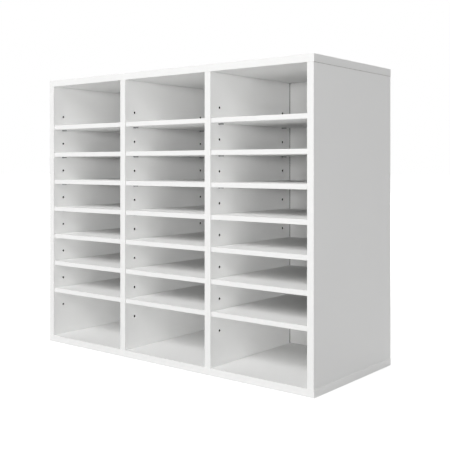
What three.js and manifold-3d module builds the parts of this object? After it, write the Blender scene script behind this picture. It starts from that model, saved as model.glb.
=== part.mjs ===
// Pigeonhole mail sorter: a board carcass with three columns of loose shelves on pins.
// Millimetres, +Z up, front towards -Y, origin on the floor under the middle of the carcass.
import * as THREE from "three";
import { mergeVertices } from "three/addons/utils/BufferGeometryUtils.js";
import ManifoldModule from "manifold-3d";

const manifold = await ManifoldModule();
manifold.setup();

// Columns and carcass boards
const columnNames = ["left", "middle", "right"];
const uprightNames = ["left_side_panel", "left_divider", "right_divider", "right_side_panel"];
const shelvesPerColumn = 7;
const compartmentWidth = 226; // clear between two uprights, for letter paper lying flat
const carcassDepth = 300;
const boardThickness = 15;
const edgeRadius = 1; // rounding of the banded front edges

// Back, let into grooves in the outer boards
const backThickness = 3;
const backInset = 14.3; // rear face of the back to the rear edges of the carcass
const dividerRearGap = 1.2; // rear edge of a divider to the back
const grooveDepth = 6;
const grooveFrontClearance = 1; // shows as a dark line round the back
const grooveRearClearance = 0.3;
const grooveEndClearance = 0.5;

// Rows of pin holes
const holePitch = 32;
const holeEndMargin = 70; // end of an upright to the centre of the nearest hole
const holeDiameter = 5;
const rowSetback = 29; // front or rear edge of a divider to a row of holes
const blindHoleFloor = 4; // board left behind a hole in a side panel

// Spoon pins: a flat tab each, its upper face level with the hole's centre
const tabLength = 10;
const tabWidth = 7;
const tabThickness = 2;
const tabCorner = 2;

// Loose shelves
const shelfThickness = 10;
const shelfEndGap = 0.8; // end of a shelf to the upright beside it
const shelfSeatGap = 0.3; // underside of a shelf to the tabs
const shelfFrontSetback = 2;
const shelfRearGap = 2;

// Screws, dowels and caps that hold the top and bottom to the uprights
const screwLength = 50;
const screwDiameter = 7;
const screwHeadDiameter = 10;
const screwHeadHeight = 2.5;
const screwTipLength = 4;
const screwTipDiameter = 3;
const screwSetback = 45; // front or rear edge of a divider to a screw
const screwSink = 0.5; // head below the underside of the bottom
const dowelDiameter = 8;
const dowelInUpright = 20;
const dowelCover = 5; // board left above a dowel hole
const dowelChamfer = 1;
const capDiameter = 13;
const capThickness = 1.5;
const capSink = 0.2; // cap below the upper face of the top
const fitClearance = 0.3; // around and beyond a fastener in its hole

// Derived sizes
const holesPerRow = 2 * shelvesPerColumn + 1;
const uprightLength = 2 * holeEndMargin + (holesPerRow - 1) * holePitch;
const uprightPitch = compartmentWidth + boardThickness;
const carcassWidth = columnNames.length * uprightPitch + boardThickness;
const carcassHeight = uprightLength + 2 * boardThickness;
const innerWidth = carcassWidth - 2 * boardThickness;
const backFace = carcassDepth - backInset - backThickness;
const dividerDepth = backFace - dividerRearGap;
const frontY = -carcassDepth / 2;
const grooveDepths = {
  front: backFace - grooveFrontClearance,
  rear: backFace + backThickness + grooveRearClearance,
};
const rowDepths = { front: rowSetback, rear: dividerDepth - rowSetback };
const screwDepths = { front: screwSetback, rear: dividerDepth - screwSetback };
const dowelDepth = dividerDepth / 2;
const dowelInBoard = boardThickness - dowelCover;
const roundSides = 10;
const overcut = 1; // a cutting tool's reach past the face it opens

// Finishes
const melamine = new THREE.MeshStandardMaterial({ color: 0xf1f1ee, roughness: 0.45, metalness: 0 });
const shelfMelamine = new THREE.MeshStandardMaterial({ color: 0xf3f3f0, roughness: 0.45, metalness: 0 });
const hardboard = new THREE.MeshStandardMaterial({ color: 0xe9e9e6, roughness: 0.6, metalness: 0 });
const zincSteel = new THREE.MeshStandardMaterial({ color: 0xa8a9ab, roughness: 0.35, metalness: 1 });
const beech = new THREE.MeshStandardMaterial({ color: 0xc9a878, roughness: 0.7, metalness: 0 });
const capPlastic = new THREE.MeshStandardMaterial({ color: 0xf4f4f2, roughness: 0.4, metalness: 0 });

// A closed geometry as a solid that can be joined to others and cut.
function solidFrom(geometry) {
  const bare = geometry.clone();
  bare.deleteAttribute("normal");
  bare.deleteAttribute("uv");
  const welded = mergeVertices(bare, 1e-4);
  const mesh = new manifold.Mesh({
    numProp: 3,
    vertProperties: new Float32Array(welded.attributes.position.array),
    triVerts: new Uint32Array(welded.index.array),
  });
  return new manifold.Manifold(mesh);
}

// A cut or joined solid as a geometry for a mesh.
function geometryFrom(solid) {
  const mesh = solid.getMesh();
  const geometry = new THREE.BufferGeometry();
  geometry.setAttribute("position", new THREE.BufferAttribute(mesh.vertProperties, 3));
  geometry.setIndex(new THREE.BufferAttribute(mesh.triVerts, 1));
  geometry.computeVertexNormals();
  return geometry;
}

function cut(solid, tools) {
  return tools.reduce((rest, tool) => rest.subtract(tool), solid);
}

function join(solid, additions) {
  return additions.reduce((whole, addition) => whole.add(addition), solid);
}

// A box between two corners.
function block(low, high) {
  const size = [0, 1, 2].map((axis) => high[axis] - low[axis]);
  const middle = [0, 1, 2].map((axis) => (high[axis] + low[axis]) / 2);
  return new THREE.BoxGeometry(...size).translate(...middle);
}

// A rod along X from one place to another.
function rodAlongX(diameter, fromX, toX, y, z) {
  const rod = new THREE.CylinderGeometry(diameter / 2, diameter / 2, toX - fromX, roundSides);
  return rod.rotateZ(Math.PI / 2).translate((fromX + toX) / 2, y, z);
}

// A turned piece around Z, from [radius, height] points that run upwards.
function turned(points) {
  const profile = points.map(([radius, height]) => new THREE.Vector2(radius, height));
  return new THREE.LatheGeometry(profile, roundSides).rotateX(Math.PI / 2);
}

// A standing board: thickness about X, front edge at y = 0, lower end at z = 0.
function standingBoard(thickness, depth, length) {
  const half = thickness / 2;
  const outline = new THREE.Shape();
  outline.moveTo(-half, depth);
  outline.lineTo(-half, edgeRadius);
  outline.absarc(edgeRadius - half, edgeRadius, edgeRadius, Math.PI, 1.5 * Math.PI);
  outline.lineTo(half - edgeRadius, 0);
  outline.absarc(half - edgeRadius, edgeRadius, edgeRadius, 1.5 * Math.PI, 2 * Math.PI);
  outline.lineTo(half, depth);
  outline.closePath();
  return new THREE.ExtrudeGeometry(outline, { depth: length, bevelEnabled: false, curveSegments: 2 });
}

// A lying board: length about X, front edge at y = 0, thickness about Z.
function lyingBoard(thickness, depth, length) {
  return standingBoard(thickness, depth, length).translate(0, 0, -length / 2).rotateY(Math.PI / 2);
}

function holeHeight(index) {
  return holeEndMargin + index * holePitch;
}

function shelfPinHole(shelfIndex) {
  return 2 * shelfIndex + 1;
}

// One spoon pin on the face of an upright that looks along +X or -X.
function spoonPin(facing, depth, height) {
  const root = boardThickness / 2 - overcut;
  const tip = boardThickness / 2 + tabLength;
  const half = tabWidth / 2;
  const outline = new THREE.Shape();
  outline.moveTo(root, -half);
  outline.lineTo(tip - tabCorner, -half);
  outline.lineTo(tip, tabCorner - half);
  outline.lineTo(tip, half - tabCorner);
  outline.lineTo(tip - tabCorner, half);
  outline.lineTo(root, half);
  outline.closePath();
  const tab = new THREE.ExtrudeGeometry(outline, { depth: tabThickness, bevelEnabled: false });
  const turn = facing > 0 ? 0 : Math.PI;
  return solidFrom(tab.rotateZ(turn).translate(0, depth, height - tabThickness));
}

// The space a screw or a screw hole takes, with its head's top at z = 0 and its tip below.
function screwForm(grow, headRise) {
  const shank = screwDiameter / 2 + grow;
  const head = screwHeadDiameter / 2 + grow;
  const tip = screwTipDiameter / 2 + grow;
  const coneFoot = -screwHeadHeight - (screwHeadDiameter - screwDiameter) / 2 - grow;
  return turned([
    [0, -screwLength - grow],
    [tip, -screwLength - grow],
    [shank, screwTipLength - screwLength - grow],
    [shank, coneFoot],
    [head, -screwHeadHeight - grow],
    [head, headRise],
    [0, headRise],
  ]);
}

function dowelForm(grow) {
  const radius = dowelDiameter / 2 + grow;
  const low = -dowelInUpright - grow;
  const high = dowelInBoard + grow;
  return turned([
    [0, low],
    [radius - dowelChamfer, low],
    [radius, low + dowelChamfer],
    [radius, high - dowelChamfer],
    [radius - dowelChamfer, high],
    [0, high],
  ]);
}

function capForm(grow, rise) {
  const radius = capDiameter / 2 + grow;
  return turned([
    [0, -capThickness - grow],
    [radius, -capThickness - grow],
    [radius, rise],
    [0, rise],
  ]);
}

// Screw heads and dowel seams at both ends, as distances along an upright from its lower end.
const topHead = uprightLength + boardThickness - capSink - capThickness - fitClearance;
const bottomHead = screwSink - boardThickness;

// Tools for the fastener holes at both ends of an upright standing at x = 0.
function fastenerHoles() {
  const tools = [];
  for (const depth of Object.values(screwDepths)) {
    const upper = screwForm(fitClearance, boardThickness).translate(0, depth, topHead);
    const lower = screwForm(fitClearance, boardThickness).rotateX(Math.PI).translate(0, depth, bottomHead);
    tools.push(solidFrom(upper), solidFrom(lower));
  }
  const upperDowel = dowelForm(fitClearance).translate(0, dowelDepth, uprightLength);
  const lowerDowel = dowelForm(fitClearance).rotateX(Math.PI).translate(0, dowelDepth, 0);
  tools.push(solidFrom(upperDowel), solidFrom(lowerDowel));
  return tools;
}

// An upright: drilled at every second hole, a pin in each of the others, on the faces it is given.
function uprightGeometry(facings) {
  const isSide = facings.length === 1;
  const depth = isSide ? carcassDepth : dividerDepth;
  const tools = fastenerHoles();
  const pins = [];
  const face = boardThickness / 2;
  for (const row of Object.values(rowDepths)) {
    for (let index = 0; index < holesPerRow; index += 2) {
      const inner = isSide ? facings[0] * (blindHoleFloor - face) : -face - overcut;
      const outer = isSide ? facings[0] * (face + overcut) : face + overcut;
      const ends = [Math.min(inner, outer), Math.max(inner, outer)];
      tools.push(solidFrom(rodAlongX(holeDiameter, ...ends, row, holeHeight(index))));
    }
    for (let shelf = 0; shelf < shelvesPerColumn; shelf += 1) {
      for (const facing of facings) {
        pins.push(spoonPin(facing, row, holeHeight(shelfPinHole(shelf))));
      }
    }
  }
  if (isSide) {
    const grooveX = [facings[0] * (face - grooveDepth), facings[0] * (face + overcut)];
    const low = [Math.min(...grooveX), grooveDepths.front, -overcut];
    const high = [Math.max(...grooveX), grooveDepths.rear, uprightLength + overcut];
    tools.push(solidFrom(block(low, high)));
  }
  const board = solidFrom(standingBoard(boardThickness, depth, uprightLength));
  return geometryFrom(join(cut(board, tools), pins));
}

function uprightX(index) {
  return (boardThickness - carcassWidth) / 2 + index * uprightPitch;
}

// The top or the bottom: grooved for the back, bored for the screws, dowels and caps.
function lyingGeometry(isTop) {
  const seam = isTop ? uprightLength : 0;
  const middle = isTop ? uprightLength + boardThickness / 2 : -boardThickness / 2;
  const tools = [];
  for (let index = 0; index < uprightNames.length; index += 1) {
    for (const tool of fastenerHoles()) {
      tools.push(tool.translate([uprightX(index), 0, -middle]));
    }
    if (isTop) {
      for (const depth of Object.values(screwDepths)) {
        const recess = capForm(fitClearance, overcut).translate(uprightX(index), depth, 0);
        tools.push(solidFrom(recess.translate(0, 0, boardThickness / 2 - capSink)));
      }
    }
  }
  const grooveZ = isTop ? [-overcut, grooveDepth] : [-grooveDepth, overcut];
  const halfGroove = innerWidth / 2 + grooveDepth;
  const low = [-halfGroove, grooveDepths.front, grooveZ[0] + seam - middle];
  const high = [halfGroove, grooveDepths.rear, grooveZ[1] + seam - middle];
  tools.push(solidFrom(block(low, high)));
  return geometryFrom(cut(solidFrom(lyingBoard(boardThickness, carcassDepth, carcassWidth)), tools));
}

function meshAt(name, geometry, material, x, y, z) {
  const mesh = new THREE.Mesh(geometry, material);
  mesh.name = name;
  mesh.position.set(x, y, z);
  return mesh;
}

function carcassBoards() {
  const group = new THREE.Group();
  group.name = "carcass_boards";
  const topZ = carcassHeight - boardThickness / 2;
  group.add(meshAt("top_panel", lyingGeometry(true), melamine, 0, frontY, topZ));
  group.add(meshAt("bottom_panel", lyingGeometry(false), melamine, 0, frontY, boardThickness / 2));
  uprightNames.forEach((name, index) => {
    const facings = [];
    if (index > 0) {
      facings.push(-1);
    }
    if (index < uprightNames.length - 1) {
      facings.push(1);
    }
    const geometry = uprightGeometry(facings);
    group.add(meshAt(name, geometry, melamine, uprightX(index), frontY, boardThickness));
  });
  const growth = 2 * (grooveDepth - grooveEndClearance);
  const backSize = [innerWidth + growth, backThickness, uprightLength + growth];
  const backY = frontY + backFace + backThickness / 2;
  group.add(meshAt("back_panel", new THREE.BoxGeometry(...backSize), hardboard, 0, backY, carcassHeight / 2));
  return group;
}

function looseShelves() {
  const group = new THREE.Group();
  group.name = "loose_shelves";
  const width = compartmentWidth - 2 * shelfEndGap;
  const depth = backFace - shelfFrontSetback - shelfRearGap;
  const geometry = lyingBoard(shelfThickness, depth, width);
  columnNames.forEach((column, columnIndex) => {
    const x = uprightX(columnIndex) + uprightPitch / 2;
    for (let shelf = 0; shelf < shelvesPerColumn; shelf += 1) {
      const seat = boardThickness + holeHeight(shelfPinHole(shelf)) + shelfSeatGap;
      const name = `shelf_${column}_${shelf + 1}`;
      const z = seat + shelfThickness / 2;
      group.add(meshAt(name, geometry, shelfMelamine, x, frontY + shelfFrontSetback, z));
    }
  });
  return group;
}

function fasteners() {
  const group = new THREE.Group();
  group.name = "fasteners";
  const screw = screwForm(0, 0);
  const dowel = dowelForm(0);
  const cap = capForm(0, 0);
  uprightNames.forEach((upright, index) => {
    const x = uprightX(index);
    for (const [place, depth] of Object.entries(screwDepths)) {
      const y = frontY + depth;
      const upperZ = boardThickness + topHead;
      const lowerZ = boardThickness + bottomHead;
      const lower = meshAt(`bottom_screw_${upright}_${place}`, screw, zincSteel, x, y, lowerZ);
      lower.rotation.x = Math.PI;
      group.add(meshAt(`top_screw_${upright}_${place}`, screw, zincSteel, x, y, upperZ), lower);
      group.add(meshAt(`cap_${upright}_${place}`, cap, capPlastic, x, y, carcassHeight - capSink));
    }
    const y = frontY + dowelDepth;
    const upperZ = carcassHeight - boardThickness;
    const lower = meshAt(`bottom_dowel_${upright}`, dowel, beech, x, y, boardThickness);
    lower.rotation.x = Math.PI;
    group.add(meshAt(`top_dowel_${upright}`, dowel, beech, x, y, upperZ), lower);
  });
  return group;
}

const sorter = new THREE.Group();
sorter.name = "mail_sorter";
sorter.add(carcassBoards(), looseShelves(), fasteners());

export default sorter;
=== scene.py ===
"""Dresses the pigeonhole mail sorter: its boards, loose shelves, shelf pins and fasteners."""

import logging
import math
from collections.abc import Callable, Sequence
from dataclasses import dataclass
from enum import Enum

import bmesh
import bpy
from mathutils import Matrix, Vector


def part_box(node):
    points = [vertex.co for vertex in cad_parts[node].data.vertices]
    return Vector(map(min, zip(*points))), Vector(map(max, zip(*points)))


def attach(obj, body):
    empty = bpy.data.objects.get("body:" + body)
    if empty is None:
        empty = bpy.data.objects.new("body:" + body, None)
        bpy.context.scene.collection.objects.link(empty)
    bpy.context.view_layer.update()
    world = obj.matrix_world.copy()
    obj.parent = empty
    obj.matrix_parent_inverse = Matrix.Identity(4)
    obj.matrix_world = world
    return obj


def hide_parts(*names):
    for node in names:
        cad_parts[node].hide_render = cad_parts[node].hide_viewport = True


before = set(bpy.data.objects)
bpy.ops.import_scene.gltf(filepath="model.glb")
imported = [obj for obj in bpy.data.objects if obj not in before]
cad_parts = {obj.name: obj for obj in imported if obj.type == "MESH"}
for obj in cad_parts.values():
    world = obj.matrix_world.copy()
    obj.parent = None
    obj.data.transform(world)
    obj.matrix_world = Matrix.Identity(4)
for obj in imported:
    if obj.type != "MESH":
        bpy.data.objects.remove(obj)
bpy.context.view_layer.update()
LOG = logging.getLogger("mail_sorter")

Point = tuple[float, float, float]
Colour = tuple[float, float, float, float]
Pair = tuple[float, float]

# Coordinates closer than this are the same
TOUCH = 1e-6
# Cutting tools run this far past a face
PAST = 0.001
# The side of the small plane that a profile's first point is merged from
SEED = 0.001
# A Mix node's colour sockets, which share their names with its number sockets
FIRST_COLOUR, SECOND_COLOUR, MIXED_COLOUR = 6, 7, 2
WHITE: Colour = (1.0, 1.0, 1.0, 1.0)


class Axis(Enum):
    """An axis of the frame, by its place in a point."""

    X = 0
    Y = 1
    Z = 2


class ToolUse(Enum):
    """What a tool does to a piece."""

    CUT = "DIFFERENCE"
    FUSE = "UNION"


class Facing(Enum):
    """The way a face of an upright looks."""

    LEFT = -1
    RIGHT = 1


class Column(Enum):
    """A column of compartments, by its place from the left."""

    LEFT = 0
    MIDDLE = 1
    RIGHT = 2


class Level(Enum):
    """Which of the two lying outer boards."""

    TOP = "top_panel"
    BOTTOM = "bottom_panel"


class UprightPlace(Enum):
    """An upright, by its place from the left."""

    LEFT_SIDE = "left_side_panel"
    LEFT_DIVIDER = "left_divider"
    RIGHT_DIVIDER = "right_divider"
    RIGHT_SIDE = "right_side_panel"

    @property
    def index(self) -> int:
        """Counts the upright from the left, from 0."""
        return list(UprightPlace).index(self)

    @property
    def facings(self) -> list[Facing]:
        """Lists the faces that carry hole rows.

        Returns:
            One face of a side panel, and both of a divider.
        """
        if self is UprightPlace.LEFT_SIDE:
            return [Facing.RIGHT]
        if self is UprightPlace.RIGHT_SIDE:
            return [Facing.LEFT]
        return [Facing.LEFT, Facing.RIGHT]


@dataclass(frozen=True)
class CarcassSizes:
    """Sizes that the boards, shelves and pins share, in metres."""

    depth: float = 0.300
    board: float = 0.015
    compartment: float = 0.226
    divider_depth: float = 0.2815
    back_thickness: float = 0.003
    back_gap: float = 0.0012
    groove_depth: float = 0.006
    groove_front_clearance: float = 0.001
    groove_rear_clearance: float = 0.0003
    hole_pitch: float = 0.032
    hole_count: int = 15
    hole_radius: float = 0.0025
    hole_end_margin: float = 0.070
    row_setback: float = 0.029
    blind_floor: float = 0.004
    shelf_count: int = 7
    screw_setback: float = 0.045
    screw_bore_radius: float = 0.0038
    dowel_bore_radius: float = 0.0043

    @property
    def width(self) -> float:
        """Adds up the uprights and the compartments."""
        return len(UprightPlace) * self.board + len(Column) * self.compartment

    @property
    def height(self) -> float:
        """Adds up the lying boards, the hole rows and the room past their ends."""
        return 2 * (self.board + self.hole_end_margin) + (self.hole_count - 1) * self.hole_pitch

    @property
    def front(self) -> float:
        """Gives the y of the carcass's front edges."""
        return -self.depth / 2

    @property
    def back_face(self) -> float:
        """Gives the y of the back panel's front face."""
        return self.front + self.divider_depth + self.back_gap

    @property
    def groove_ys(self) -> Pair:
        """Gives the y of the front and the rear wall of the back's groove."""
        rear = self.back_face + self.back_thickness + self.groove_rear_clearance
        return self.back_face - self.groove_front_clearance, rear

    @property
    def seam_top(self) -> float:
        """Gives the z where the uprights meet the top panel."""
        return self.height - self.board

    @property
    def row_ys(self) -> Pair:
        """Gives the y of the front and the rear row of holes."""
        return self.front + self.row_setback, self.front + self.divider_depth - self.row_setback

    @property
    def screw_ys(self) -> Pair:
        """Gives the y of the front and the rear screws."""
        return self.front + self.screw_setback, self.front + self.divider_depth - self.screw_setback

    @property
    def dowel_y(self) -> float:
        """Gives the y of the dowels."""
        return self.front + self.divider_depth / 2

    @property
    def upright_pitch(self) -> float:
        """Gives the distance from one upright's middle to the next."""
        return self.compartment + self.board

    def upright_x(self, index: int) -> float:
        """Gives the x of an upright's middle, counted from the left."""
        return (self.board - self.width) / 2 + index * self.upright_pitch

    def hole_z(self, index: int) -> float:
        """Gives the height of a hole's centre, counted from the lowest."""
        return self.board + self.hole_end_margin + index * self.hole_pitch


SIZES = CarcassSizes()

# The ways that edges face, and how squarely a face looks that way
FRONT: Point = (0.0, -1.0, 0.0)
REAR: Point = (0.0, 1.0, 0.0)
LEFT: Point = (-1.0, 0.0, 0.0)
RIGHT: Point = (1.0, 0.0, 0.0)
SQUARE = 0.85
DIAGONAL = math.sqrt(0.5)


# Modelling steps


def clear_selection() -> None:
    """Leaves edit mode and selects nothing."""
    if bpy.context.object and bpy.context.object.mode != "OBJECT":
        bpy.ops.object.mode_set(mode="OBJECT")
    bpy.ops.object.select_all(action="DESELECT")


def make_active(piece: bpy.types.Object) -> None:
    """Selects one piece alone and makes it the active one.

    Args:
        piece: the piece.
    """
    clear_selection()
    piece.select_set(True)
    bpy.context.view_layer.objects.active = piece


def add_block(name: str, low: Point, high: Point) -> bpy.types.Object:
    """Adds a cube primitive that fills the box between two corners.

    Args:
        name: the new object's name.
        low: the lowest corner.
        high: the highest corner.

    Returns:
        The block, with its place and size in its mesh.
    """
    clear_selection()
    middle = [(a + b) / 2 for a, b in zip(low, high)]
    bpy.ops.mesh.primitive_cube_add(size=1.0, location=middle)
    block = bpy.context.object
    block.name = name
    block.data.name = name
    block.scale = [b - a for a, b in zip(low, high)]
    bpy.ops.object.transform_apply(location=True, rotation=True, scale=True)
    return block


def select_edges(piece: bpy.types.Object, chosen: Callable[[Vector, Vector], bool]) -> None:
    """Enters edit mode with only some edges selected.

    Args:
        piece: the mesh object to edit.
        chosen: says from an edge's two ends whether it is selected.
    """
    make_active(piece)
    bpy.ops.object.mode_set(mode="EDIT")
    bpy.ops.mesh.select_mode(type="EDGE")
    bpy.ops.mesh.select_all(action="DESELECT")
    shape = bmesh.from_edit_mesh(piece.data)
    for edge in shape.edges:
        edge.select_set(chosen(edge.verts[0].co, edge.verts[1].co))
    shape.select_flush_mode()
    bmesh.update_edit_mesh(piece.data)


def round_edges(
    piece: bpy.types.Object, radius: float, steps: int, chosen: Callable[[Vector, Vector], bool]
) -> None:
    """Bevels some edges of a piece.

    Args:
        piece: the mesh object to edit.
        radius: how far the rounding reaches from the edge.
        steps: how many flats make the rounding.
        chosen: says from an edge's two ends whether it is rounded.
    """
    select_edges(piece, chosen)
    bpy.ops.mesh.bevel(offset=radius, segments=steps, affect="EDGES", clamp_overlap=True)
    bpy.ops.object.mode_set(mode="OBJECT")


def add_turned(name: str, profile: Sequence[Pair], sides: int) -> bpy.types.Object:
    """Draws a profile vertex by vertex and spins it round the z axis.

    Args:
        name: the new object's name.
        profile: radius and height of each point, from one end on the axis to the other.
        sides: how many flats go round.

    Returns:
        The turned piece, closed, with its faces outwards.
    """
    clear_selection()
    radius, height = profile[0]
    bpy.ops.mesh.primitive_plane_add(size=SEED, location=(radius, 0.0, height))
    piece = bpy.context.object
    piece.name = name
    piece.data.name = name
    bpy.ops.object.transform_apply(location=True, rotation=True, scale=True)
    bpy.ops.object.mode_set(mode="EDIT")
    bpy.ops.mesh.select_mode(type="VERT")
    bpy.ops.mesh.select_all(action="SELECT")
    bpy.ops.mesh.merge(type="CENTER")
    for (start_r, start_z), (end_r, end_z) in zip(profile, profile[1:]):
        step = (end_r - start_r, 0.0, end_z - start_z)
        bpy.ops.mesh.extrude_region_move(TRANSFORM_OT_translate={"value": step})
    bpy.ops.mesh.select_all(action="SELECT")
    bpy.ops.mesh.spin(steps=sides, angle=2 * math.pi, center=(0, 0, 0), axis=(0, 0, 1))
    bpy.ops.mesh.select_all(action="SELECT")
    bpy.ops.mesh.remove_doubles(threshold=TOUCH)
    bpy.ops.mesh.normals_make_consistent(inside=False)
    bpy.ops.object.mode_set(mode="OBJECT")
    return piece


def place(piece: bpy.types.Object, matrix: Matrix) -> bpy.types.Object:
    """Moves a piece's mesh, and leaves its object at the origin."""
    piece.data.transform(matrix)
    return piece


def copy_of(piece: bpy.types.Object, name: str, matrix: Matrix) -> bpy.types.Object:
    """Copies a modelled piece with a mesh of its own.

    Args:
        piece: the piece to copy.
        name: the copy's name.
        matrix: carries the piece's place to the copy's place.

    Returns:
        The copy, with its object at the origin.
    """
    twin = piece.copy()
    twin.data = piece.data.copy()
    twin.name = name
    twin.data.name = name
    bpy.context.scene.collection.objects.link(twin)
    return place(twin, matrix)


def join_pieces(name: str, pieces: Sequence[bpy.types.Object]) -> bpy.types.Object:
    """Joins loose pieces into one object.

    Args:
        name: the joined object's name.
        pieces: the pieces, the first of which is kept.

    Returns:
        The joined object.
    """
    clear_selection()
    for piece in pieces:
        piece.select_set(True)
    bpy.context.view_layer.objects.active = pieces[0]
    if len(pieces) > 1:
        bpy.ops.object.join()
    whole = bpy.context.view_layer.objects.active
    whole.name = name
    whole.data.name = name
    return whole


def combine(piece: bpy.types.Object, tool: bpy.types.Object, use: ToolUse) -> None:
    """Cuts a tool's shape out of a piece, or joins it on, and removes the tool.

    Args:
        piece: the piece that stays.
        tool: the shape that is cut away or added.
        use: which of the two.
    """
    make_active(piece)
    step = piece.modifiers.new("combine", "BOOLEAN")
    step.operation = use.value
    step.object = tool
    step.solver = "EXACT"
    step.material_mode = "TRANSFER"
    bpy.ops.object.modifier_apply(modifier=step.name)
    mesh = tool.data
    bpy.data.objects.remove(tool)
    bpy.data.meshes.remove(mesh)


def repeat(piece: bpy.types.Object, count: int, step: Point) -> None:
    """Repeats a shape along a line with an array modifier, and applies it.

    Args:
        piece: the shape to repeat.
        count: how many there are in all.
        step: the way from one to the next.
    """
    make_active(piece)
    array = piece.modifiers.new("repeat", "ARRAY")
    array.count = count
    array.use_relative_offset = False
    array.use_constant_offset = True
    array.constant_offset_displace = step
    bpy.ops.object.modifier_apply(modifier=array.name)


def smooth(piece: bpy.types.Object, degrees: float) -> None:
    """Shades a turned or rounded piece smooth up to an angle."""
    make_active(piece)
    bpy.ops.object.shade_smooth_by_angle(angle=math.radians(degrees))


def hand_over(piece: bpy.types.Object, body: str, nodes: Sequence[str] = ()) -> None:
    """Puts a finished piece on its body and hides the solids that it stands for.

    Args:
        piece: the finished piece.
        body: the body that it moves with.
        nodes: the solids that it stands for.
    """
    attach(piece, body)
    if nodes:
        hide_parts(*nodes)
    LOG.info("%s on %s: %d faces", piece.name, body, len(piece.data.polygons))


# Finishes


@dataclass(frozen=True)
class Grain:
    """A cloudy pattern: how many features it has to a metre, and how many finer layers."""

    scale: float
    detail: float


@dataclass(frozen=True)
class Relief:
    """How deep a pattern is pressed in, in metres, and how strongly that shows, from 0 to 1."""

    depth: float
    strength: float


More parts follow.
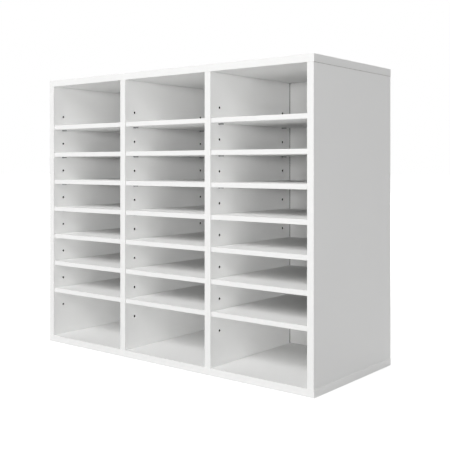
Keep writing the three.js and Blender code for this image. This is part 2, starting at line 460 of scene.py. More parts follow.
class Recipe:
    """A material's nodes around one Principled shader, in Object coordinates."""

    def __init__(self, name: str) -> None:
        """Starts a material with a shader and the coordinates of its piece.

        Args:
            name: the material's name.
        """
        self.material = bpy.data.materials.new(name)
        self.material.use_nodes = True
        self.tree = self.material.node_tree
        self.shader = self.tree.nodes["Principled BSDF"]
        self.place = self.tree.nodes.new("ShaderNodeTexCoord").outputs["Object"]

    def set(self, **sockets: float | Colour) -> None:
        """Sets values that are the same all over, by the shader's socket names."""
        for socket, value in sockets.items():
            self.shader.inputs[socket.replace("_", " ")].default_value = value

    def feed(self, socket: str, source: bpy.types.NodeSocket) -> None:
        """Links a pattern to one of the shader's sockets."""
        self.tree.links.new(source, self.shader.inputs[socket])

    def stretched(self, scale: Point) -> bpy.types.NodeSocket:
        """Scales the piece's coordinates differently along each axis.

        Args:
            scale: the factor along each axis.

        Returns:
            The scaled coordinates.
        """
        mapping = self.tree.nodes.new("ShaderNodeMapping")
        mapping.inputs["Scale"].default_value = scale
        self.tree.links.new(self.place, mapping.inputs["Vector"])
        return mapping.outputs["Vector"]

    def noise(self, grain: Grain, place: bpy.types.NodeSocket | None = None) -> bpy.types.NodeSocket:
        """Adds a cloudy pattern.

        Args:
            grain: how coarse and how fine it is.
            place: the coordinates it lies on, or the piece's own.

        Returns:
            The pattern, from 0 to 1.
        """
        node = self.tree.nodes.new("ShaderNodeTexNoise")
        node.inputs["Scale"].default_value = grain.scale
        node.inputs["Detail"].default_value = grain.detail
        self.tree.links.new(place or self.place, node.inputs["Vector"])
        return node.outputs["Fac"]

    def chips(self, scale: float) -> bpy.types.NodeSocket:
        """Adds a pattern of cells, each of one shade, for pressed wood chips.

        Args:
            scale: how many cells there are to a metre.

        Returns:
            The coloured pattern.
        """
        node = self.tree.nodes.new("ShaderNodeTexVoronoi")
        node.inputs["Scale"].default_value = scale
        self.tree.links.new(self.place, node.inputs["Vector"])
        return node.outputs["Color"]

    def mesh_weave(self, scale: float, waver: float) -> bpy.types.NodeSocket:
        """Adds the crossed ridges that a wire screen presses into hardboard.

        Args:
            scale: how close the ridges lie.
            waver: how far they stray from straight.

        Returns:
            The ridges, high where they are 1.
        """
        ridges = []
        for across in (Axis.X, Axis.Z):
            wave = self.tree.nodes.new("ShaderNodeTexWave")
            wave.bands_direction = across.name
            wave.inputs["Scale"].default_value = scale
            wave.inputs["Distortion"].default_value = waver
            self.tree.links.new(self.place, wave.inputs["Vector"])
            ridges.append(wave.outputs["Fac"])
        return self.math("MAXIMUM", *ridges)

    def math(
        self, operation: str, first: bpy.types.NodeSocket, second: bpy.types.NodeSocket | float
    ) -> bpy.types.NodeSocket:
        """Combines two patterns, or a pattern and a number.

        Args:
            operation: a Math node's operation.
            first: the first pattern.
            second: the second pattern, or a number.

        Returns:
            The result as a pattern.
        """
        node = self.tree.nodes.new("ShaderNodeMath")
        node.operation = operation
        self.tree.links.new(first, node.inputs[0])
        if isinstance(second, (int, float)):
            node.inputs[1].default_value = second
        else:
            self.tree.links.new(second, node.inputs[1])
        return node.outputs[0]

    def along(self, axis: Axis) -> bpy.types.NodeSocket:
        """Gives one coordinate of the piece.

        Args:
            axis: the coordinate's axis.

        Returns:
            The coordinate, in metres.
        """
        node = self.tree.nodes.new("ShaderNodeSeparateXYZ")
        self.tree.links.new(self.place, node.inputs[0])
        return node.outputs[axis.name]

    def distance(self) -> bpy.types.NodeSocket:
        """Measures from the piece's origin.

        Returns:
            The distance, in metres.
        """
        node = self.tree.nodes.new("ShaderNodeVectorMath")
        node.operation = "LENGTH"
        self.tree.links.new(self.place, node.inputs[0])
        return node.outputs["Value"]

    def band(self, axis: Axis, centre: float, half_width: float) -> bpy.types.NodeSocket:
        """Marks a thin layer across an axis.

        Args:
            axis: the axis that the layer lies across.
            centre: where its middle lies.
            half_width: how far it reaches to both sides.

        Returns:
            1 inside the layer, and 0 outside it.
        """
        offset = self.math("SUBTRACT", self.along(axis), centre)
        distance = self.math("ABSOLUTE", offset, 0.0)
        return self.math("LESS_THAN", distance, half_width)

    def between(
        self, factor: bpy.types.NodeSocket, first: Colour | bpy.types.NodeSocket, second: Colour
    ) -> bpy.types.NodeSocket:
        """Blends from one colour to another by a pattern.

        Args:
            factor: the pattern.
            first: the colour, or coloured pattern, at 0.
            second: the colour at 1.

        Returns:
            The blended colour.
        """
        node = self.tree.nodes.new("ShaderNodeMix")
        node.data_type = "RGBA"
        self.tree.links.new(factor, node.inputs["Factor"])
        if isinstance(first, tuple):
            node.inputs[FIRST_COLOUR].default_value = first
        else:
            self.tree.links.new(first, node.inputs[FIRST_COLOUR])
        node.inputs[SECOND_COLOUR].default_value = second
        return node.outputs[MIXED_COLOUR]

    def spread(self, source: bpy.types.NodeSocket, ends: Pair) -> bpy.types.NodeSocket:
        """Maps a pattern to a range of numbers.

        Args:
            source: the pattern, from 0 to 1.
            ends: the numbers at 0 and at 1.

        Returns:
            The numbers as a pattern.
        """
        node = self.tree.nodes.new("ShaderNodeMapRange")
        node.inputs["To Min"].default_value, node.inputs["To Max"].default_value = ends
        self.tree.links.new(source, node.inputs["Value"])
        return node.outputs["Result"]

    def emboss(
        self, height: bpy.types.NodeSocket, relief: Relief, under: bpy.types.NodeSocket | None = None
    ) -> bpy.types.NodeSocket:
        """Turns a pattern into relief.

        Args:
            height: the pattern, high where it is 1.
            relief: how deep and how strong it is.
            under: a relief that this one lies on.

        Returns:
            The normal to feed to the shader.
        """
        node = self.tree.nodes.new("ShaderNodeBump")
        node.inputs["Distance"].default_value = relief.depth
        node.inputs["Strength"].default_value = relief.strength
        self.tree.links.new(height, node.inputs["Height"])
        if under:
            self.tree.links.new(under, node.inputs["Normal"])
        return node.outputs["Normal"]


@dataclass(frozen=True)
class MelamineFinish:
    """White melamine paper on particle board: a fine pearl grain and a faint glue line at the banding."""

    name: str
    glue_line_y: float
    pale: Colour = (0.935, 0.935, 0.928, 1.0)
    cool: Colour = (0.902, 0.904, 0.899, 1.0)
    glue: Colour = (0.55, 0.54, 0.52, 1.0)
    glue_half: float = 0.00012
    cloud: Grain = Grain(7.0, 3.0)
    speck: Grain = Grain(900.0, 2.0)
    ripple: Grain = Grain(420.0, 2.0)
    sheen: Grain = Grain(60.0, 4.0)
    rough: Pair = (0.56, 0.70)
    ripple_relief: Relief = Relief(0.00008, 0.25)
    speck_relief: Relief = Relief(0.00005, 0.35)
    gloss: float = 0.2

    def material(self) -> bpy.types.Material:
        """Builds the material.

        Returns:
            The material.
        """
        recipe = Recipe(self.name)
        speck = recipe.noise(self.speck)
        mottle = recipe.math("MULTIPLY", recipe.noise(self.cloud), speck)
        tone = recipe.between(mottle, self.pale, self.cool)
        line = recipe.band(Axis.Y, self.glue_line_y, self.glue_half)
        recipe.feed("Base Color", recipe.between(line, tone, self.glue))
        recipe.feed("Roughness", recipe.spread(recipe.noise(self.sheen), self.rough))
        ripple = recipe.emboss(recipe.noise(self.ripple), self.ripple_relief)
        recipe.feed("Normal", recipe.emboss(speck, self.speck_relief, ripple))
        recipe.set(Specular_IOR_Level=self.gloss)
        return recipe.material


@dataclass(frozen=True)
class BandingFinish:
    """White plastic edge banding: a little glossier than the faces, with fine trimming marks."""

    name: str = "edge_banding"
    # Painted shade: the default tone lies well below the faces' white, to tone down the strongly lit front
    # edges
    pale: Colour = (0.750, 0.750, 0.744, 1.0)
    worn: Colour = (0.719, 0.719, 0.714, 1.0)
    marks: Grain = Grain(1.0, 3.0)
    stretch: Point = (60.0, 2500.0, 60.0)
    sheen: Grain = Grain(90.0, 3.0)
    rough: Pair = (0.42, 0.56)
    relief: Relief = Relief(0.00005, 0.2)
    gloss: float = 0.25

    def material(self) -> bpy.types.Material:
        """Builds the material.

        Returns:
            The material.
        """
        recipe = Recipe(self.name)
        marks = recipe.noise(self.marks, recipe.stretched(self.stretch))
        recipe.feed("Base Color", recipe.between(marks, self.pale, self.worn))
        recipe.feed("Roughness", recipe.spread(recipe.noise(self.sheen), self.rough))
        recipe.feed("Normal", recipe.emboss(marks, self.relief))
        recipe.set(Specular_IOR_Level=self.gloss)
        return recipe.material


@dataclass(frozen=True)
class ChipboardFinish:
    """Raw particle board, as sawn, grooved or drilled: its brown is the board's own, painted darker as shade
    in the holes, grooves and seams where it shows.
    """

    name: str = "raw_chipboard"
    chip: Colour = (0.14, 0.105, 0.07, 1.0)
    glue: Colour = (0.06, 0.045, 0.032, 1.0)
    chip_scale: float = 700.0
    relief: Relief = Relief(0.0003, 0.6)
    roughness: float = 0.9
    gloss: float = 0.15

    def material(self) -> bpy.types.Material:
        """Builds the material.

        Returns:
            The material.
        """
        recipe = Recipe(self.name)
        chips = recipe.chips(self.chip_scale)
        recipe.feed("Base Color", recipe.between(chips, self.chip, self.glue))
        recipe.feed("Normal", recipe.emboss(chips, self.relief))
        recipe.set(Roughness=self.roughness, Specular_IOR_Level=self.gloss)
        return recipe.material


@dataclass(frozen=True)
class HardboardFinish:
    """White lacquered hardboard: a screen pattern behind, and painted shade in the joints where the boards
    meet its face.
    """

    sizes: CarcassSizes
    name: str = "back_hardboard"
    rear_start: float = 0.002
    shade_reach: float = 0.0003
    # The dark colour painted as shade in the joints between the boards and the back
    joint_shade_colour: Colour = (0.10, 0.095, 0.09, 1.0)
    pale: Colour = (0.930, 0.930, 0.922, 1.0)
    grey: Colour = (0.895, 0.895, 0.888, 1.0)
    cloud: Grain = Grain(9.0, 4.0)
    sheen: Grain = Grain(120.0, 3.0)
    rough: Pair = (0.5, 0.66)
    screen_scale: float = 150.0
    screen_waver: float = 0.6
    screen_relief: Relief = Relief(0.0003, 0.5)
    ripple: Grain = Grain(500.0, 2.0)
    ripple_relief: Relief = Relief(0.0001, 0.3)
    gloss: float = 0.3

    def material(self) -> bpy.types.Material:
        """Builds the material.

        Returns:
            The material.
        """
        recipe = Recipe(self.name)
        depth = recipe.along(Axis.Y)
        rear = self.sizes.back_face + self.rear_start
        in_front = recipe.math("LESS_THAN", depth, rear)
        behind = recipe.math("GREATER_THAN", depth, rear)
        # Painted shade: a dark strip where the boards meet the back, for the shadow in those joints
        joints = recipe.math("MULTIPLY", self.joints(recipe), in_front)
        tone = recipe.between(recipe.noise(self.cloud), self.pale, self.grey)
        recipe.feed("Base Color", recipe.between(joints, tone, self.joint_shade_colour))
        recipe.feed("Roughness", recipe.spread(recipe.noise(self.sheen), self.rough))
        weave = recipe.mesh_weave(self.screen_scale, self.screen_waver)
        screen = recipe.math("MULTIPLY", weave, behind)
        ripple = recipe.emboss(recipe.noise(self.ripple), self.ripple_relief)
        recipe.feed("Normal", recipe.emboss(screen, self.screen_relief, ripple))
        recipe.set(Specular_IOR_Level=self.gloss)
        return recipe.material

    def joints(self, recipe: Recipe) -> bpy.types.NodeSocket:
        """Marks the strips behind the boards and a hair's breadth beside them, where a dark colour is
        painted as the shade in the joints.

        Args:
            recipe: the material's nodes.

        Returns:
            1 in the painted joint shade, and 0 elsewhere.
        """
        sizes = self.sizes
        half = sizes.board / 2
        spots = [(Axis.X, sizes.upright_x(upright.index)) for upright in UprightPlace]
        spots += [(Axis.Z, half), (Axis.Z, sizes.height - half)]
        total, *others = [recipe.band(axis, spot, half + self.shade_reach) for axis, spot in spots]
        for other in others:
            total = recipe.math("MAXIMUM", total, other)
        return total


@dataclass(frozen=True)
class ZincFinish:
    """Zinc-plated steel with drawing marks and a mottled plating."""

    name: str = "zinc_plate"
    bright: Colour = (0.34, 0.34, 0.35, 1.0)
    dull: Colour = (0.22, 0.22, 0.23, 1.0)
    mottle: Grain = Grain(350.0, 4.0)
    marks: Grain = Grain(1.0, 2.0)
    stretch: Point = (300.0, 4000.0, 4000.0)
    rough: Pair = (0.28, 0.46)
    relief: Relief = Relief(0.00004, 0.25)

    def material(self) -> bpy.types.Material:
        """Builds the material.

        Returns:
            The material.
        """
        recipe = Recipe(self.name)
        recipe.feed("Base Color", recipe.between(recipe.noise(self.mottle), self.bright, self.dull))
        marks = recipe.noise(self.marks, recipe.stretched(self.stretch))
        recipe.feed("Roughness", recipe.spread(marks, self.rough))
        recipe.feed("Normal", recipe.emboss(marks, self.relief))
        recipe.set(Metallic=1.0)
        return recipe.material


@dataclass(frozen=True)
class BeechFinish:
    """Bare beech dowel with its grain along z and short dark flecks."""

    name: str = "beech_dowel"
    pale: Colour = (0.62, 0.43, 0.25, 1.0)
    dark: Colour = (0.42, 0.26, 0.14, 1.0)
    grain: Grain = Grain(1.0, 5.0)
    stretch: Point = (1400.0, 1400.0, 120.0)
    relief: Relief = Relief(0.0002, 0.4)
    roughness: float = 0.75
    gloss: float = 0.2

    def material(self) -> bpy.types.Material:
        """Builds the material.

        Returns:
            The material.
        """
        recipe = Recipe(self.name)
        grain = recipe.noise(self.grain, recipe.stretched(self.stretch))
        recipe.feed("Base Color", recipe.between(grain, self.pale, self.dark))
        recipe.feed("Normal", recipe.emboss(grain, self.relief))
        recipe.set(Roughness=self.roughness, Specular_IOR_Level=self.gloss)
        return recipe.material


@dataclass(frozen=True)
class CapFinish:
    """White moulded plastic with a fine spark texture."""

    name: str = "cap_plastic"
    pale: Colour = (0.87, 0.87, 0.86, 1.0)
    grey: Colour = (0.80, 0.80, 0.79, 1.0)
    spark: Grain = Grain(1600.0, 2.0)
    sheen: Grain = Grain(400.0, 2.0)
    rough: Pair = (0.34, 0.46)
    relief: Relief = Relief(0.00005, 0.3)

    def material(self) -> bpy.types.Material:
        """Builds the material.

        Returns:
            The material.
        """
        recipe = Recipe(self.name)
        spark = recipe.noise(self.spark)
        recipe.feed("Base Color", recipe.between(spark, self.pale, self.grey))
        recipe.feed("Roughness", recipe.spread(recipe.noise(self.sheen), self.rough))
        recipe.feed("Normal", recipe.emboss(spark, self.relief))
        return recipe.material


@dataclass(frozen=True)
class FloorFinish:
    """A pale studio floor that fades to white around the object and still takes its soft shadow."""

    name: str = "studio_floor"
    tone: Colour = (0.60, 0.60, 0.60, 1.0)
    roughness: float = 0.9
    glow: Pair = (0.58, 1.0)
    reach: float = 2.5

    def material(self) -> bpy.types.Material:
        """Builds the material.

        Returns:
            The material.
        """
        recipe = Recipe(self.name)
        tree = recipe.tree
        recipe.set(Base_Color=self.tone, Roughness=self.roughness, Specular_IOR_Level=0.0)
        outwards = recipe.spread(recipe.math("DIVIDE", recipe.distance(), self.reach), self.glow)
        glow = tree.nodes.new("ShaderNodeEmission")
        tree.links.new(recipe.math("MULTIPLY", outwards, seen_directly(tree)), glow.inputs["Strength"])
        total = tree.nodes.new("ShaderNodeAddShader")
        tree.links.new(recipe.shader.outputs[0], total.inputs[0])
        tree.links.new(glow.outputs[0], total.inputs[1])
        tree.links.new(total.outputs[0], tree.nodes["Material Output"].inputs["Surface"])
        return recipe.material


def seen_directly(tree: bpy.types.NodeTree) -> bpy.types.NodeSocket:
    """Gives 1 for rays from the camera, off metal or through glass, and 0 for light.

    Args:
        tree: the node tree to add the nodes to.

    Returns:
        The 0 or 1.
    """
    path = tree.nodes.new("ShaderNodeLightPath")
    total = path.outputs["Is Camera Ray"]
    for kind in ("Is Glossy Ray", "Is Transmission Ray"):
        node = tree.nodes.new("ShaderNodeMath")
        node.operation = "MAXIMUM"
        tree.links.new(total, node.inputs[0])
        tree.links.new(path.outputs[kind], node.inputs[1])
        total = node.outputs[0]
    return total


# Painted light: the top panel's ends take a darker banding and the bottom panel's ends a lighter one, for
# the shade at the top seam and the light near the floor
END_BANDING_LIT_AND_SHADED = {
    Level.TOP: BandingFinish("top_end_banding", (0.895, 0.895, 0.888, 1.0), (0.870, 0.870, 0.863, 1.0)),
    Level.BOTTOM: BandingFinish("low_end_banding", (0.965, 0.965, 0.958, 1.0), (0.945, 0.945, 0.938, 1.0)),
}
REAR_FINISH = BandingFinish("rear_banding", (0.910, 0.910, 0.903, 1.0), (0.880, 0.880, 0.873, 1.0))
# Painted shade: a near-black raw board for the pin holes, standing for the shade deep inside them
PIN_HOLE_SHADE_FINISH = ChipboardFinish("burnt_bore", (0.030, 0.025, 0.020, 1.0), (0.012, 0.010, 0.008, 1.0))


class FinishRack:
    """The finishes, each built once."""

    def __init__(self, sizes: CarcassSizes, shelf_front: float, band: float) -> None:
        """Builds every material of the sorter.

        Args:
            sizes: the carcass's sizes.
            shelf_front: the y of the shelves' front edges.
            band: the thickness of the edge banding.
        """
        self.carcass = MelamineFinish("carcass_melamine", sizes.front + band).material()
        self.shelf = MelamineFinish("shelf_melamine", shelf_front + band).material()
        self.banding = BandingFinish().material()
        self.ends = {level: finish.material() for level, finish in END_BANDING_LIT_AND_SHADED.items()}
        self.rear = REAR_FINISH.material()
        self.chipboard = ChipboardFinish().material()
        self.bore = PIN_HOLE_SHADE_FINISH.material()
        self.hardboard = HardboardFinish(sizes).material()
        self.zinc = ZincFinish().material()
        self.beech = BeechFinish().material()
        self.cap = CapFinish().material()


@dataclass(frozen=True)
class EdgeCover:
    """What the edges of a board that face some ways are covered with."""

    finish: bpy.types.Material
    ways: tuple[Point, ...]
    least: float = 0.3

    def takes(self, normal: Vector) -> bool:
        """Says whether a face looks one of the cover's ways squarely enough."""
        return any(normal.dot(Vector(way)) > self.least for way in self.ways)


@dataclass
class BoardWork:
    """How any banded board is cut, rounded and dressed."""

    band: float = 0.0009
    long_radius: float = 0.0008
    edge_steps: int = 3

    def cut(
        self, name: str, low: Point, high: Point, length: Axis, end_radius: float
    ) -> bpy.types.Object:
        """Cuts a board to size and eases its edges.

        Args:
            name: the board's name.
            low: its lowest corner.
            high: its highest corner.
            length: the axis that its long edges run along.
            end_radius: how far the edges round its two ends are eased.

        Returns:
            The board.
        """
        board = add_block(name, low, high)

        def runs_along(first: Vector, second: Vector) -> bool:
            """Picks the long edges."""
            return abs(first[length.value] - second[length.value]) > TOUCH

        def at_end(first: Vector, second: Vector) -> bool:
            """Picks the edges round the two ends, which are all the others."""
            return not runs_along(first, second)

        round_edges(board, self.long_radius, self.edge_steps, runs_along)
        round_edges(board, end_radius, self.edge_steps, at_end)
        return board

    def dress(
        self, board: bpy.types.Object, faces: bpy.types.Material, covers: Sequence[EdgeCover]
    ) -> None:
        """Gives a board its face finish and covers its edges.

        Args:
            board: the board, before anything is cut out of it.
            faces: the finish of its two faces.
            covers: the covers of its edges, of which the first that fits a face is laid.
        """
        for finish in (faces, *(cover.finish for cover in covers)):
            board.data.materials.append(finish)
        for polygon in board.data.polygons:
            fitting = (index for index, cover in enumerate(covers, 1) if cover.takes(polygon.normal))
            polygon.material_index = next(fitting, 0)


@dataclass
class Upright:
    """A side panel or a divider, drilled with two rows of pin holes on each inner face."""

    place: UprightPlace
    sizes: CarcassSizes
    work: BoardWork
    end_screw_depth: float = 0.0375
    end_dowel_depth: float = 0.0203
    end_radius: float = 0.0005
    outer_inset: float = 0.0006
    hole_sides: int = 24

    @property
    def is_side(self) -> bool:
        """Says whether this is an outer upright."""
        return len(self.place.facings) == 1

    def build(self, rack: FinishRack) -> bpy.types.Object:
        """Cuts, dresses and drills the upright.

        Args:
            rack: the finishes.

        Returns:
            The upright.
        """
        sizes = self.sizes
        middle = sizes.upright_x(self.place.index)
        depth = sizes.depth if self.is_side else sizes.divider_depth
        left, right = (self.face_x(facing) for facing in Facing)
        low = (middle + left, sizes.front, sizes.board)
        high = (middle + right, sizes.front + depth, sizes.seam_top)
        board = self.work.cut(f"{self.place.value}_board", low, high, Axis.Z, self.end_radius)
        covers = [EdgeCover(rack.banding, (FRONT,))]
        if self.is_side:
            # The raw board on a side panel's top outer corner is its sawn edge and also painted shade: a
            # dark line at the seam under the top panel
            outer_seam = (-self.place.facings[0].value * DIAGONAL, 0.0, DIAGONAL)
            covers += [EdgeCover(rack.rear, (REAR,)), EdgeCover(rack.chipboard, (outer_seam,), SQUARE)]
        else:
            covers.append(EdgeCover(rack.chipboard, (REAR,), SQUARE))
        self.work.dress(board, rack.carcass, covers)
        tools = self.end_holes(middle)
        if self.is_side:
            tools.append(self.groove(middle))
        for tool in tools:
            tool.data.materials.append(rack.chipboard)
        drill = self.pin_holes(middle)
        # The pin holes take the near-black finish, which is painted shade in the holes
        drill.data.materials.append(rack.bore)
        combine(board, join_pieces("upright_tools", [drill, *tools]), ToolUse.CUT)
        return board

    def face_x(self, facing: Facing) -> float:
        """Gives the x of a face from the middle, with an outer face a hair inside the lying panels' ends."""
        inset = 0.0 if facing in self.place.facings else self.outer_inset
        return facing.value * (self.sizes.board / 2 - inset)

    def pin_holes(self, middle: float) -> bpy.types.Object:
        """Makes the drill for both rows of pin holes.

        Args:
            middle: the x of the upright's middle.

        Returns:
            The tool.
        """
        sizes = self.sizes
        face, radius = sizes.board / 2, sizes.hole_radius
        low, high = -face - PAST, face + PAST
        if self.is_side:
            facing = self.place.facings[0].value
            low, high = sorted((facing * (sizes.blind_floor - face), facing * (face + PAST)))
        profile = [(0.0, low), (radius, low), (radius, high), (0.0, high)]
        drill = add_turned("pin_drill", profile, self.hole_sides)
        place(drill, Matrix.Rotation(math.pi / 2, 4, "Y"))
        place(drill, Matrix.Translation((middle, sizes.row_ys[0], sizes.hole_z(0))))
        repeat(drill, sizes.hole_count, (0.0, 0.0, sizes.hole_pitch))
        repeat(drill, 2, (0.0, sizes.row_ys[1] - sizes.row_ys[0], 0.0))
        return drill

    def end_holes(self, middle: float) -> list[bpy.types.Object]:
        """Makes the drills for the screws and dowels at both ends.

        Args:
            middle: the x of the upright's middle.

        Returns:
            The tools.
        """
        sizes = self.sizes
        spots = [(y, sizes.screw_bore_radius, self.end_screw_depth) for y in sizes.screw_ys]
        spots.append((sizes.dowel_y, sizes.dowel_bore_radius, self.end_dowel_depth))
        tools = []
        for y, radius, depth in spots:
            for low, high in ((0.0, sizes.board + depth), (sizes.seam_top - depth, sizes.height)):
                profile = [(0.0, low), (radius, low), (radius, high), (0.0, high)]
                tool = add_turned("end_drill", profile, self.hole_sides)
                tools.append(place(tool, Matrix.Translation((middle, y, 0.0))))
        return tools

    def groove(self, middle: float) -> bpy.types.Object:
        """Makes the cutter for the back panel's groove in a side panel.

        Args:
            middle: the x of the upright's middle.

        Returns:
            The tool.
        """
        sizes = self.sizes
        facing = self.place.facings[0].value
        face = sizes.board / 2
        xs = sorted((facing * (face - sizes.groove_depth), facing * (face + PAST)))
        front, rear = sizes.groove_ys
        return add_block("side_groove", (middle + xs[0], front, 0.0), (middle + xs[1], rear, sizes.height))


@dataclass
class LyingPanel:
    """The top or bottom panel, bored for screws and dowels and grooved for the back."""

    level: Level
    sizes: CarcassSizes
    work: BoardWork
    head_radius: float = 0.0053
    head_depth: float = 0.0028
    cone_depth: float = 0.0015
    recess_radius: float = 0.0068
    recess_depth: float = 0.0020
    sink: float = 0.0005
    dowel_depth: float = 0.0103
    dowel_sides: int = 24
    end_radius: float = 0.0015
    hole_sides: int = 32

    def build(self, rack: FinishRack) -> bpy.types.Object:
        """Cuts, dresses and bores the panel.

        Args:
            rack: the finishes.

        Returns:
            The panel.
        """
        sizes = self.sizes
        base = sizes.seam_top if self.level is Level.TOP else 0.0
        half = sizes.width / 2
        low, high = (-half, sizes.front, base), (half, -sizes.front, base + sizes.board)
        board = self.work.cut(f"{self.level.value}_board", low, high, Axis.X, self.end_radius)
        covers = [
            EdgeCover(rack.banding, (FRONT,)),
            EdgeCover(rack.rear, (REAR,)),
            # The end banding is painted darker on the top panel and lighter on the bottom one
            EdgeCover(rack.ends[self.level], (LEFT, RIGHT), SQUARE),
        ]
        self.work.dress(board, rack.carcass, covers)
        tools = [self.screw_bores(), self.dowel_bores(), self.groove()]
        for tool in tools:
            tool.data.materials.append(rack.chipboard)
        combine(board, join_pieces("panel_tools", tools), ToolUse.CUT)
        return board

    def spread_out(self, tool: bpy.types.Object, y: float) -> None:
        """Repeats a tool over the four uprights."""
        place(tool, Matrix.Translation((self.sizes.upright_x(0), y, 0.0)))
        repeat(tool, len(UprightPlace), (self.sizes.upright_pitch, 0.0, 0.0))

    def screw_bores(self) -> bpy.types.Object:
        """Makes the stepped tool for the countersunk screw holes.

        Returns:
            The tool.
        """
        sizes = self.sizes
        shank, head, recess = sizes.screw_bore_radius, self.head_radius, self.recess_radius
        if self.level is Level.TOP:
            low, high = sizes.seam_top - PAST, sizes.height + PAST
            head_top = sizes.height - self.recess_depth
            neck = head_top - self.head_depth
            profile = [(0.0, low), (shank, low), (shank, neck - self.cone_depth), (head, neck)]
            profile += [(head, head_top), (recess, head_top), (recess, high), (0.0, high)]
        else:
            low, high = -PAST, sizes.board + PAST
            neck = self.sink + self.head_depth
            profile = [(0.0, low), (head, low), (head, neck), (shank, neck + self.cone_depth)]
            profile += [(shank, high), (0.0, high)]
        tool = add_turned("screw_bore", profile, self.hole_sides)
        self.spread_out(tool, sizes.screw_ys[0])
        repeat(tool, 2, (0.0, sizes.screw_ys[1] - sizes.screw_ys[0], 0.0))
        return tool

    def dowel_bores(self) -> bpy.types.Object:
        """Makes the tool for the blind dowel holes.

        Returns:
            The tool.
        """
        sizes = self.sizes
        if self.level is Level.TOP:
            low, high = sizes.seam_top - PAST, sizes.seam_top + self.dowel_depth
        else:
            low, high = sizes.board - self.dowel_depth, sizes.board + PAST
        radius = sizes.dowel_bore_radius
        profile = [(0.0, low), (radius, low), (radius, high), (0.0, high)]
        tool = add_turned("dowel_bore", profile, self.dowel_sides)
        self.spread_out(tool, sizes.dowel_y)
        return tool

    def groove(self) -> bpy.types.Object:
        """Makes the cutter for the back panel's groove.

        Returns:
            The tool.
        """
        sizes = self.sizes
        half = sizes.width / 2 - sizes.board + sizes.groove_depth
        if self.level is Level.TOP:
            low, high = sizes.seam_top - PAST, sizes.seam_top + sizes.groove_depth
        else:
            low, high = sizes.board - sizes.groove_depth, sizes.board + PAST
        front, rear = sizes.groove_ys
        return add_block("panel_groove", (-half, front, low), (half, rear, high))


@dataclass
class BackPanel:
    """The thin back, let into its grooves."""

    sizes: CarcassSizes
    edge_radius: float = 0.0003
    edge_steps: int = 2

    def build(self, rack: FinishRack) -> bpy.types.Object:
        """Cuts the back to the size of its solid and dresses it.

        Args:
            rack: the finishes.

        Returns:
            The back.
        """
        low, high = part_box("back_panel")
        back = add_block("back_panel_board", tuple(low), tuple(high))
        round_edges(back, self.edge_radius, self.edge_steps, lambda first, second: True)
        back.data.materials.append(rack.hardboard)
        return back


@dataclass
class ShelfSet:
    """The loose shelves: one is modelled, and the others are copies of it."""

    sizes: CarcassSizes
    work: BoardWork
    thickness: float = 0.010
    end_gap: float = 0.0008
    seat_gap: float = 0.0003
    setback: float = 0.002
    rear_gap: float = 0.002
    end_radius: float = 0.0005

    @property
    def front(self) -> float:
        """Gives the y of a shelf's front edge."""
        return self.sizes.front + self.setback

    def build(self, rack: FinishRack) -> dict[str, bpy.types.Object]:
        """Models a shelf and copies it to every place.

        Args:
            rack: the finishes.

        Returns:
            Each shelf by the name of the solid it stands for.
        """
        sizes = self.sizes
        half = sizes.compartment / 2 - self.end_gap
        pattern = self.work.cut(
            "shelf_pattern",
            (-half, self.front, 0.0),
            (half, sizes.back_face - self.rear_gap, self.thickness),
            Axis.X,
            self.end_radius,
        )
        self.work.dress(pattern, rack.shelf, [EdgeCover(rack.banding, (FRONT,))])
        shelves = {}
        for column in Column:
            x = sizes.upright_x(column.value) + sizes.upright_pitch / 2
            for number in range(sizes.shelf_count):
                z = sizes.hole_z(2 * number + 1) + self.seat_gap
                node = f"shelf_{column.name.lower()}_{number + 1}"
                shelves[node] = copy_of(pattern, f"{node}_board", Matrix.Translation((x, 0.0, z)))
        bpy.data.objects.remove(pattern)
        return shelves


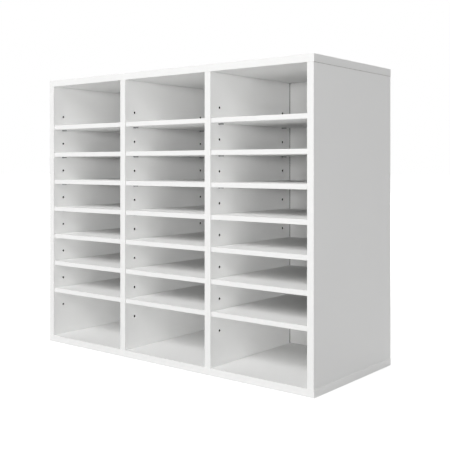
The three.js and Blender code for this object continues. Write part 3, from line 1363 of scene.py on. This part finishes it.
@dataclass
class PinSet:
    """The spoon pins pushed into one upright: a round shank and a flat tab each."""

    sizes: CarcassSizes
    shank_radius: float = 0.00245
    shank_length: float = 0.0070
    shank_rise: float = 0.0005
    shank_ease: float = 0.0006
    shank_sides: int = 20
    tab_root: float = 0.00005
    tab_length: float = 0.0100
    tab_width: float = 0.0070
    tab_thickness: float = 0.0020
    tip_radius: float = 0.0028
    tip_steps: int = 5
    rim_start: float = 0.0004
    rim_radius: float = 0.00025
    rim_steps: int = 2
    smooth_degrees: float = 40.0

    def pattern(self, rack: FinishRack) -> bpy.types.Object:
        """Models one pin at the origin, with its tab towards +X.

        Args:
            rack: the finishes.

        Returns:
            The pin.
        """
        radius, ease = self.shank_radius, self.shank_ease
        start, end = -self.shank_length, self.shank_rise
        profile = [(0.0, start), (radius - ease, start), (radius, start + ease), (radius, end), (0.0, end)]
        pin = add_turned("pin_pattern", profile, self.shank_sides)
        place(pin, Matrix.Rotation(math.pi / 2, 4, "Y"))
        half = self.tab_width / 2
        low, high = (self.tab_root, -half, -self.tab_thickness), (self.tab_length, half, 0.0)
        tab = add_block("pin_tab", low, high)

        def tip_corner(first: Vector, second: Vector) -> bool:
            """Picks the two upright edges at the tab's tip."""
            return min(first.x, second.x) > self.tab_length - TOUCH and abs(first.z - second.z) > TOUCH

        def rim(first: Vector, second: Vector) -> bool:
            """Picks the tab's upper and lower edges, except at its root."""
            return abs(first.z - second.z) < TOUCH and max(first.x, second.x) > self.rim_start

        round_edges(tab, self.tip_radius, self.tip_steps, tip_corner)
        round_edges(tab, self.rim_radius, self.rim_steps, rim)
        combine(pin, tab, ToolUse.FUSE)
        pin.data.materials.clear()
        pin.data.materials.append(rack.zinc)
        for polygon in pin.data.polygons:
            polygon.material_index = 0
        smooth(pin, self.smooth_degrees)
        return pin

    def build(self, pattern: bpy.types.Object, upright: UprightPlace) -> bpy.types.Object:
        """Sets copies of the pin into one upright.

        Args:
            pattern: the modelled pin.
            upright: the upright that carries them.

        Returns:
            The upright's pins as one object.
        """
        sizes = self.sizes
        pins = []
        for facing in upright.facings:
            turn = Matrix.Rotation(0.0 if facing is Facing.RIGHT else math.pi, 4, "Z")
            x = sizes.upright_x(upright.index) + facing.value * sizes.board / 2
            for y in sizes.row_ys:
                for number in range(sizes.shelf_count):
                    spot = Matrix.Translation((x, y, sizes.hole_z(2 * number + 1)))
                    pins.append(copy_of(pattern, "pin", spot @ turn))
        return join_pieces(f"{upright.value}_pins", pins)


@dataclass
class CapSet:
    """The flush plastic caps over the screw heads on the top panel."""

    sizes: CarcassSizes
    radius: float = 0.0065
    thickness: float = 0.0015
    sink: float = 0.0002
    edge: float = 0.0003
    rim_width: float = 0.0013
    dish_radius: float = 0.00481
    dish: float = 0.00015
    sides: int = 40
    smooth_degrees: float = 25.0

    def build(self, rack: FinishRack) -> dict[str, bpy.types.Object]:
        """Models a cap and copies it over every screw.

        Args:
            rack: the finishes.

        Returns:
            Each cap by the name of the solid it stands for.
        """
        radius, edge = self.radius, self.edge
        top = self.sizes.height - self.sink
        base = top - self.thickness
        profile = [(0.0, base), (radius - edge, base), (radius, base + edge), (radius, top - edge)]
        profile += [(radius - edge, top), (radius - self.rim_width, top)]
        profile += [(self.dish_radius, top - self.dish), (0.0, top - self.dish)]
        pattern = add_turned("cap_pattern", profile, self.sides)
        pattern.data.materials.append(rack.cap)
        smooth(pattern, self.smooth_degrees)
        caps = {}
        for upright in UprightPlace:
            for name, y in zip(("front", "rear"), self.sizes.screw_ys):
                node = f"cap_{upright.value}_{name}"
                spot = Matrix.Translation((self.sizes.upright_x(upright.index), y, 0.0))
                caps[node] = copy_of(pattern, f"{node}_disc", spot)
        bpy.data.objects.remove(pattern)
        return caps


class KeptFasteners:
    """The screws and dowels inside the boards, which keep their solids."""

    def dress(self, rack: FinishRack) -> None:
        """Gives each kept solid its finish.

        Args:
            rack: the finishes.
        """
        for name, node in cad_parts.items():
            if "_screw_" in name:
                finish = rack.zinc
            elif "_dowel_" in name:
                finish = rack.beech
            else:
                continue
            node.data.materials.clear()
            node.data.materials.append(finish)
            LOG.info("%s keeps its solid in %s", name, finish.name)


@dataclass(frozen=True)
class SoftLight:
    """A flat soft light of the studio."""

    name: str
    place: Point
    width: float
    height: float
    watts: float

    def hang(self, aim: Point) -> None:
        """Hangs the light and turns it to a point.

        Args:
            aim: the point.
        """
        clear_selection()
        bpy.ops.object.light_add(type="AREA", location=self.place)
        lamp = bpy.context.object
        lamp.name = self.name
        lamp.data.shape = "RECTANGLE"
        lamp.data.size = self.width
        lamp.data.size_y = self.height
        lamp.data.energy = self.watts
        way = Vector(aim) - Vector(self.place)
        lamp.rotation_euler = way.to_track_quat("-Z", "Y").to_euler()


@dataclass
class Studio:
    """The pale floor, the soft lights and the photograph's camera."""

    eye: Point = (1.11218, -1.33451, 0.41660)
    turn_degrees: float = 38.634
    lens: float = 62.177
    sensor: float = 36.0
    rise: float = -0.13201
    floor_size: float = 60.0
    floor_drop: float = 0.0002
    ambient: float = 0.212
    lights: tuple[SoftLight, ...] = (
        SoftLight("key_light", (0.53, -7.53, 5.20), 3.6, 3.6, 578.0),
        SoftLight("fill_light", (5.16, -7.37, 0.69), 3.2, 0.9, 251.0),
        SoftLight("back_light", (-2.91, 6.25, 6.38), 3.4, 3.4, 360.0),
    )
    aim: Point = (0.0, 0.0, 0.3)

    def build(self) -> None:
        """Sets up the floor, world, lights and camera."""
        self.lay_floor()
        self.light_world()
        for light in self.lights:
            light.hang(self.aim)
        self.set_camera()
        bpy.context.scene.view_settings.view_transform = "Standard"

    def lay_floor(self) -> None:
        """Lays the floor and marks it as stage."""
        clear_selection()
        bpy.ops.mesh.primitive_plane_add(size=self.floor_size, location=(0.0, 0.0, -self.floor_drop))
        floor = bpy.context.object
        floor.name = "studio_floor"
        floor.data.materials.append(FloorFinish().material())

    def light_world(self) -> None:
        """Gives an even ambient light, and white where the camera sees it."""
        world = bpy.data.worlds.new("studio_world")
        world.use_nodes = True
        bpy.context.scene.world = world
        tree = world.node_tree
        strength = tree.nodes.new("ShaderNodeMapRange")
        strength.inputs["To Min"].default_value = self.ambient
        strength.inputs["To Max"].default_value = 1.0
        tree.links.new(seen_directly(tree), strength.inputs["Value"])
        background = tree.nodes["Background"]
        background.inputs["Color"].default_value = WHITE
        tree.links.new(strength.outputs["Result"], background.inputs["Strength"])

    def set_camera(self) -> None:
        """Stands the camera level, where the photograph was taken from."""
        clear_selection()
        bpy.ops.object.camera_add(location=self.eye)
        camera = bpy.context.object
        camera.rotation_euler = (math.pi / 2, 0.0, math.radians(self.turn_degrees))
        camera.data.sensor_width = self.sensor
        camera.data.lens = self.lens
        camera.data.shift_y = self.rise
        bpy.context.scene.camera = camera


def main() -> None:
    """Builds the sorter from its boards to its lights."""
    logging.basicConfig(level=logging.INFO, format="%(name)s: %(message)s")
    work = BoardWork()
    shelves = ShelfSet(SIZES, work)
    rack = FinishRack(SIZES, shelves.front, work.band)
    for level in Level:
        panel = LyingPanel(level, SIZES, work).build(rack)
        hand_over(panel, "carcass", [level.value])
    pins = PinSet(SIZES)
    pattern = pins.pattern(rack)
    for upright in UprightPlace:
        board = Upright(upright, SIZES, work).build(rack)
        hand_over(board, "carcass", [upright.value])
        hand_over(pins.build(pattern, upright), "carcass")
    bpy.data.objects.remove(pattern)
    hand_over(BackPanel(SIZES).build(rack), "carcass", ["back_panel"])
    for node, shelf in shelves.build(rack).items():
        hand_over(shelf, node, [node])
    for node, cap in CapSet(SIZES).build(rack).items():
        hand_over(cap, "carcass", [node])
    KeptFasteners().dress(rack)
    Studio().build()


if __name__ == "__main__":
    main()
